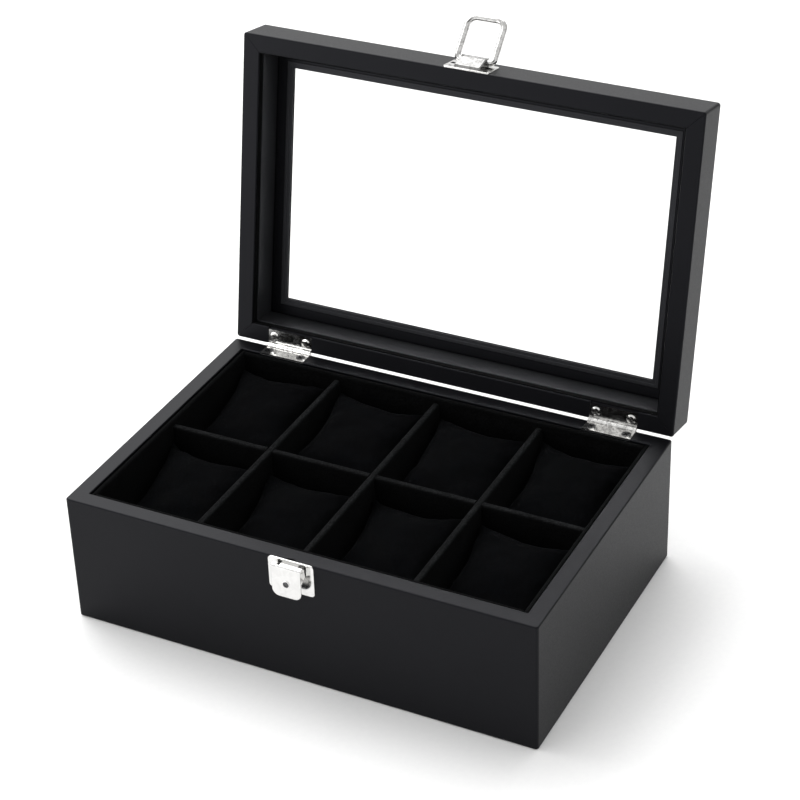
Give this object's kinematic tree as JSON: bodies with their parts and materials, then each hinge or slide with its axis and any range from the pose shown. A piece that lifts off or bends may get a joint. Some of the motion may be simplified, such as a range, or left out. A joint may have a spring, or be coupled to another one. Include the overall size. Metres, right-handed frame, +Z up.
{
  "type": "watch box",
  "caption": "Rectangular lined box with divided compartments for pillows, a hinged framed glass lid, a wire hasp and a sprung catch.",
  "frame": {"origin": "middle of the underside, on the surface the box stands on", "axes": "+Z up, +X to the right seen from the front, +Y from the front to the hinged back edge"},
  "size_m": [0.29, 0.2691, 0.2948],
  "materials": {
    "black_lacquer": "satin black lacquer over fine board",
    "lid_trim": "satin black paint",
    "lining_velvet": "black velvet",
    "pillow_velvet": "black velvet",
    "underside_felt": "black felt",
    "bright_nickel": "bright nickel plate",
    "rivet_steel": "grey steel",
    "clear_glass": "clear float glass"
  },
  "bodies": {
    "base": {"base_front_board": "black_lacquer", "base_back_board": "black_lacquer", "base_left_board": "black_lacquer", "base_right_board": "black_lacquer", "base_bottom_panel": "black_lacquer", "base_felt": "underside_felt", "lining_front": "lining_velvet", "lining_back": "lining_velvet", "lining_left": "lining_velvet", "lining_right": "lining_velvet", "lining_floor": "lining_velvet", "divider_long": "lining_velvet", "divider_cross_left": "lining_velvet", "divider_cross_middle": "lining_velvet", "divider_cross_right": "lining_velvet", "left_hinge_base_leaf": "bright_nickel", "left_hinge_pin": "bright_nickel", "left_hinge_base_screws": "rivet_steel", "right_hinge_base_leaf": "bright_nickel", "right_hinge_pin": "bright_nickel", "right_hinge_base_screws": "rivet_steel", "catch_back_plate": "bright_nickel", "catch_pivot_pin": "bright_nickel", "catch_spring": "bright_nickel", "catch_plate_screws": "bright_nickel"},
    "lid": {"lid_front_rail": "black_lacquer", "lid_back_rail": "black_lacquer", "lid_left_rail": "black_lacquer", "lid_right_rail": "black_lacquer", "lid_top_panel": "black_lacquer", "glass_pane": "clear_glass", "lid_ribbon": "lining_velvet", "lid_liner_front": "lid_trim", "lid_liner_back": "lid_trim", "lid_liner_left": "lid_trim", "lid_liner_right": "lid_trim", "glazing_bead_front": "lid_trim", "glazing_bead_back": "lid_trim", "glazing_bead_left": "lid_trim", "glazing_bead_right": "lid_trim", "left_hinge_lid_leaf": "bright_nickel", "left_hinge_lid_screws": "bright_nickel", "right_hinge_lid_leaf": "bright_nickel", "right_hinge_lid_screws": "bright_nickel", "hasp_plate": "bright_nickel", "hasp_strap": "bright_nickel", "hasp_screws": "bright_nickel"},
    "hasp": {"hasp_loop": "bright_nickel"},
    "catch": {"catch_cover": "bright_nickel", "catch_cover_rivet": "rivet_steel"},
    "pillow_front_1_body": {"pillow_front_1": "pillow_velvet"},
    "pillow_front_2_body": {"pillow_front_2": "pillow_velvet"},
    "pillow_front_3_body": {"pillow_front_3": "pillow_velvet"},
    "pillow_front_4_body": {"pillow_front_4": "pillow_velvet"},
    "pillow_back_1_body": {"pillow_back_1": "pillow_velvet"},
    "pillow_back_2_body": {"pillow_back_2": "pillow_velvet"},
    "pillow_back_3_body": {"pillow_back_3": "pillow_velvet"},
    "pillow_back_4_body": {"pillow_back_4": "pillow_velvet"}
  },
  "joints": [
    {"name": "lid_hinge", "type": "hinge", "parent": "base", "child": "lid", "pos_m": [0, 0.0976, 0.0822], "axis": [-1, 0, 0], "range_deg": [-100, 0]},
    {"name": "hasp_swing", "type": "hinge", "parent": "lid", "child": "hasp", "pos_m": [0, 0.14491, 0.27451], "axis": [-1, 0, 0], "range_deg": [-125, 0]},
    {"name": "catch_flap", "type": "hinge", "parent": "base", "child": "catch", "pos_m": [0, -0.1009, 0.0789], "axis": [-1, 0, 0], "range_deg": [0, 90], "stiffness_Nm_per_rad": 0.01, "springref_deg": -28.65},
    {"name": "lift_front_1", "type": "slide", "parent": "base", "child": "pillow_front_1_body", "axis": [0, 0, 1], "range_m": [0, 0.09]},
    {"name": "lift_front_2", "type": "slide", "parent": "base", "child": "pillow_front_2_body", "axis": [0, 0, 1], "range_m": [0, 0.09]},
    {"name": "lift_front_3", "type": "slide", "parent": "base", "child": "pillow_front_3_body", "axis": [0, 0, 1], "range_m": [0, 0.09]},
    {"name": "lift_front_4", "type": "slide", "parent": "base", "child": "pillow_front_4_body", "axis": [0, 0, 1], "range_m": [0, 0.09]},
    {"name": "lift_back_1", "type": "slide", "parent": "base", "child": "pillow_back_1_body", "axis": [0, 0, 1], "range_m": [0, 0.09]},
    {"name": "lift_back_2", "type": "slide", "parent": "base", "child": "pillow_back_2_body", "axis": [0, 0, 1], "range_m": [0, 0.09]},
    {"name": "lift_back_3", "type": "slide", "parent": "base", "child": "pillow_back_3_body", "axis": [0, 0, 1], "range_m": [0, 0.09]},
    {"name": "lift_back_4", "type": "slide", "parent": "base", "child": "pillow_back_4_body", "axis": [0, 0, 1], "range_m": [0, 0.09]}
  ]
}
